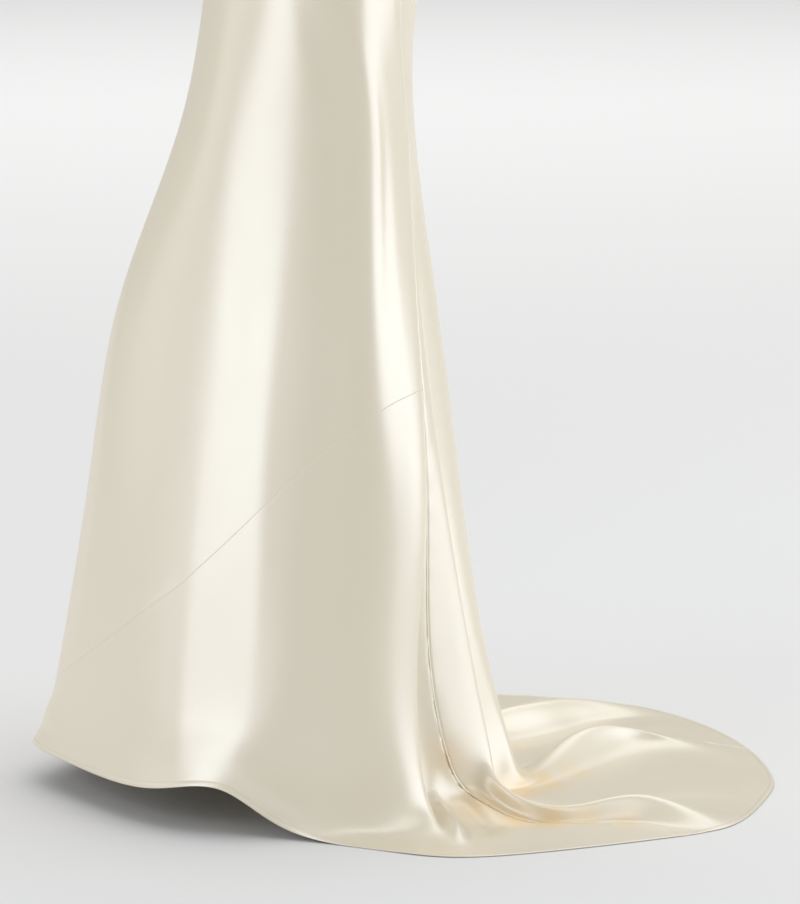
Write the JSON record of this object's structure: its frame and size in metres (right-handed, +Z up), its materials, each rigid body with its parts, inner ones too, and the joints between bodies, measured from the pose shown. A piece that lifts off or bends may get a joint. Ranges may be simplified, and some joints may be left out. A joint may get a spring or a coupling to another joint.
{
  "type": "wedding dress",
  "caption": "Long bias cut satin wedding dress with narrow shoulder straps, a flared skirt and a sweep train, in its worn form.",
  "frame": {"origin": "between the tops of the two shoulder straps, where a wearer's shoulders hold the dress; the floor that the train lies on is 1.5 m below it", "axes": "+Z up, the front of the dress faces -Y, the train lies towards +Y, +X is the wearer's left"},
  "size_m": [0.756, 0.7966, 1.5004],
  "materials": {
    "satin_front_upper": "ivory heavy satin",
    "satin_front_lower": "ivory heavy satin",
    "satin_back_left": "ivory heavy satin",
    "satin_back_right": "ivory heavy satin",
    "satin_strap_left": "ivory heavy satin",
    "satin_strap_right": "ivory heavy satin"
  },
  "bodies": {
    "root": {"front_upper": "satin_front_upper", "front_lower": "satin_front_lower", "back_left": "satin_back_left", "back_right": "satin_back_right", "strap_left": "satin_strap_left", "strap_right": "satin_strap_right"}
  },
  "joints": []
}
